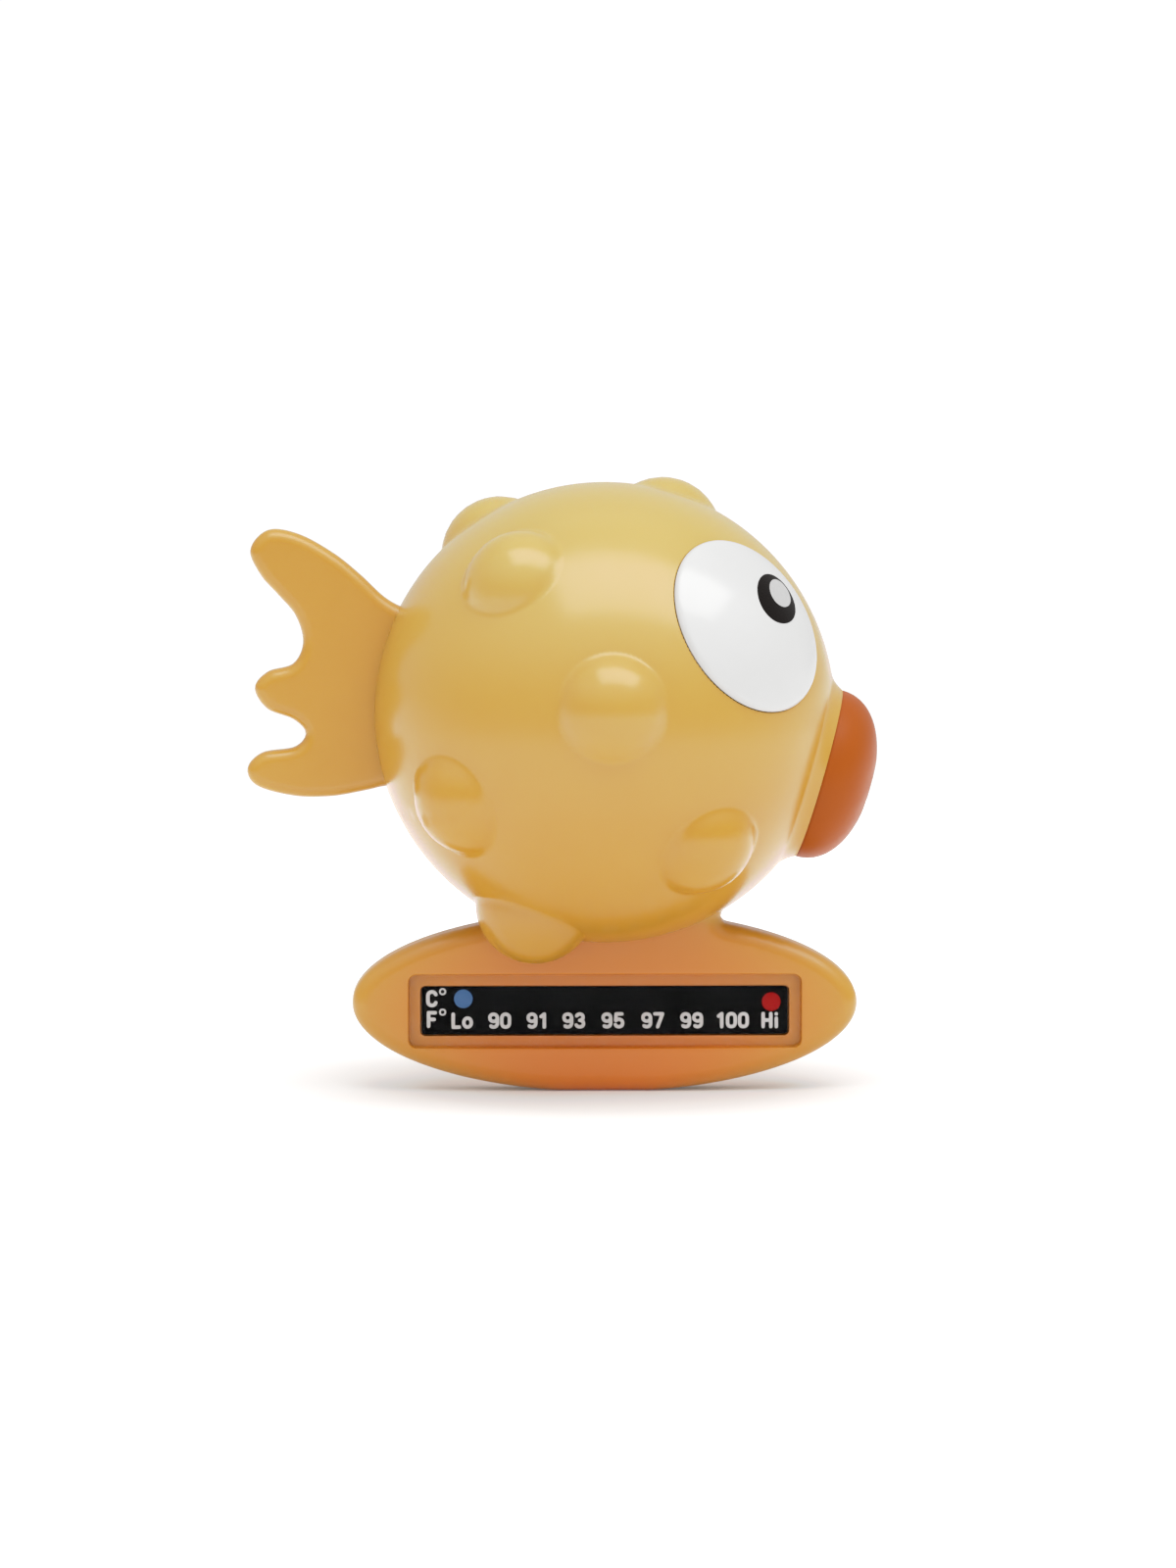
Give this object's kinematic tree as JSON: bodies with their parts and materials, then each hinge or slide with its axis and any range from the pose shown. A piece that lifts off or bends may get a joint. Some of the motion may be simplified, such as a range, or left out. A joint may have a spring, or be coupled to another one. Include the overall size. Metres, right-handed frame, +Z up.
{
  "type": "floating bath thermometer",
  "caption": "Round, knobbly fish-shaped float on an upright oval keel that holds a liquid crystal temperature strip behind a clear window.",
  "frame": {"origin": "middle of the flat foot under the keel", "axes": "+X towards the mouth, +Y towards the left side of the fish, away from the temperature strip, +Z up"},
  "size_m": [0.1096, 0.0884, 0.1062],
  "materials": {
    "body_yellow": "glossy moulded plastic, warm yellow",
    "keel_orange": "satin gloss plastic, yellow at the ends, sprayed orange towards the middle",
    "mouth_orange": "satin orange plastic",
    "eye_white": "high-gloss white plastic with a printed black pupil",
    "inner_plastic": "natural unpainted plastic",
    "clip_steel": "spring steel",
    "ballast_steel": "plated mild steel",
    "backing_foam": "black closed-cell foam",
    "strip_black": "black printed liquid crystal film",
    "window_clear": "clear polystyrene"
  },
  "bodies": {
    "root": {"right_shell": "body_yellow", "left_shell": "body_yellow", "tail_fin": "body_yellow", "mouth_lips": "mouth_orange", "mouth_retainer": "inner_plastic", "right_eye": "eye_white", "left_eye": "eye_white", "right_eye_clip": "clip_steel", "left_eye_clip": "clip_steel", "keel_body": "keel_orange", "keel_back_plate": "keel_orange", "ballast_bar": "ballast_steel", "strip_backing": "backing_foam", "crystal_strip": "strip_black", "window_lens": "window_clear"}
  },
  "joints": []
}
